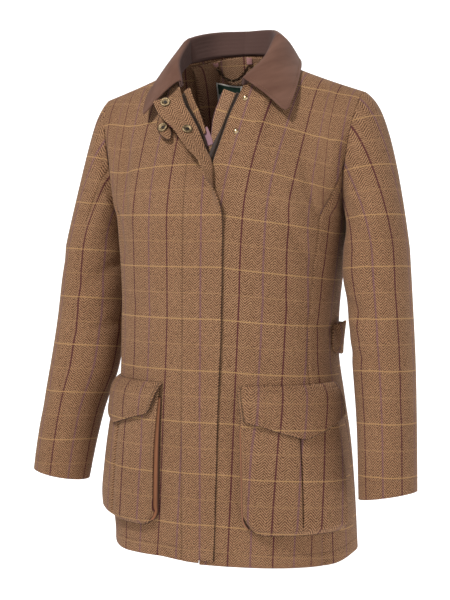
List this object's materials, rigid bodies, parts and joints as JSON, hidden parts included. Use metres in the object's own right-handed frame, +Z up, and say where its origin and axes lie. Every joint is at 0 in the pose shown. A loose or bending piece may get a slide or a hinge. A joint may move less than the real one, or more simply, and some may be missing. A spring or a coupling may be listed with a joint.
{
  "type": "tweed field coat",
  "caption": "Hip-length field coat filled out as worn, with a folded collar, set-in sleeves, a covered zip open at the neck, flapped bellows pockets and side waist tabs.",
  "frame": {"origin": "midway between the two points where the shoulder seams meet the neck, where the wearer holds the coat up", "axes": "+Z up, the front faces -Y, +X towards the wearer's left arm"},
  "size_m": [0.67, 0.2995, 0.8739],
  "materials": {
    "tweed": "herringbone wool tweed with dark and mauve stripes and ochre lines",
    "moleskin": "brushed brown cotton moleskin",
    "gusset_suede": "tan cloth, matt",
    "lining_satin": "mauve satin",
    "label_cloth": "woven, blank",
    "zip_tape": "dark twill tape",
    "zip_metal": "dulled",
    "brass": "aged"
  },
  "bodies": {
    "root": {"front_left": "tweed", "front_right": "tweed", "side_front_left": "tweed", "side_front_right": "tweed", "back_left": "tweed", "back_right": "tweed", "front_top_left": "tweed", "front_top_right": "tweed", "back_top_left": "tweed", "back_top_right": "tweed", "sleeve_cap_left": "tweed", "sleeve_cap_right": "tweed", "sleeve_top_left": "tweed", "sleeve_top_right": "tweed", "sleeve_under_left": "tweed", "sleeve_under_right": "tweed", "fly": "tweed", "zip_guard": "tweed", "throat_tab": "tweed", "waist_tab_left": "tweed", "waist_tab_right": "tweed", "pocket_left": "tweed", "pocket_right": "tweed", "pocket_flap_left": "tweed", "pocket_flap_right": "tweed", "neck_facing": "tweed", "front_facing_right": "tweed", "collar_stand": "moleskin", "collar_leaf": "moleskin", "pocket_gusset_left": "gusset_suede", "pocket_gusset_right": "gusset_suede", "lining": "lining_satin", "chain_loop_left": "lining_satin", "chain_loop_right": "lining_satin", "label": "label_cloth", "zip_tape_left": "zip_tape", "zip_tape_right": "zip_tape", "zip_slider": "zip_metal", "socket_upper": "brass", "socket_lower": "brass", "socket_tab": "brass", "stud_upper": "brass", "stud_lower": "brass", "hang_chain": "brass"}
  },
  "joints": []
}
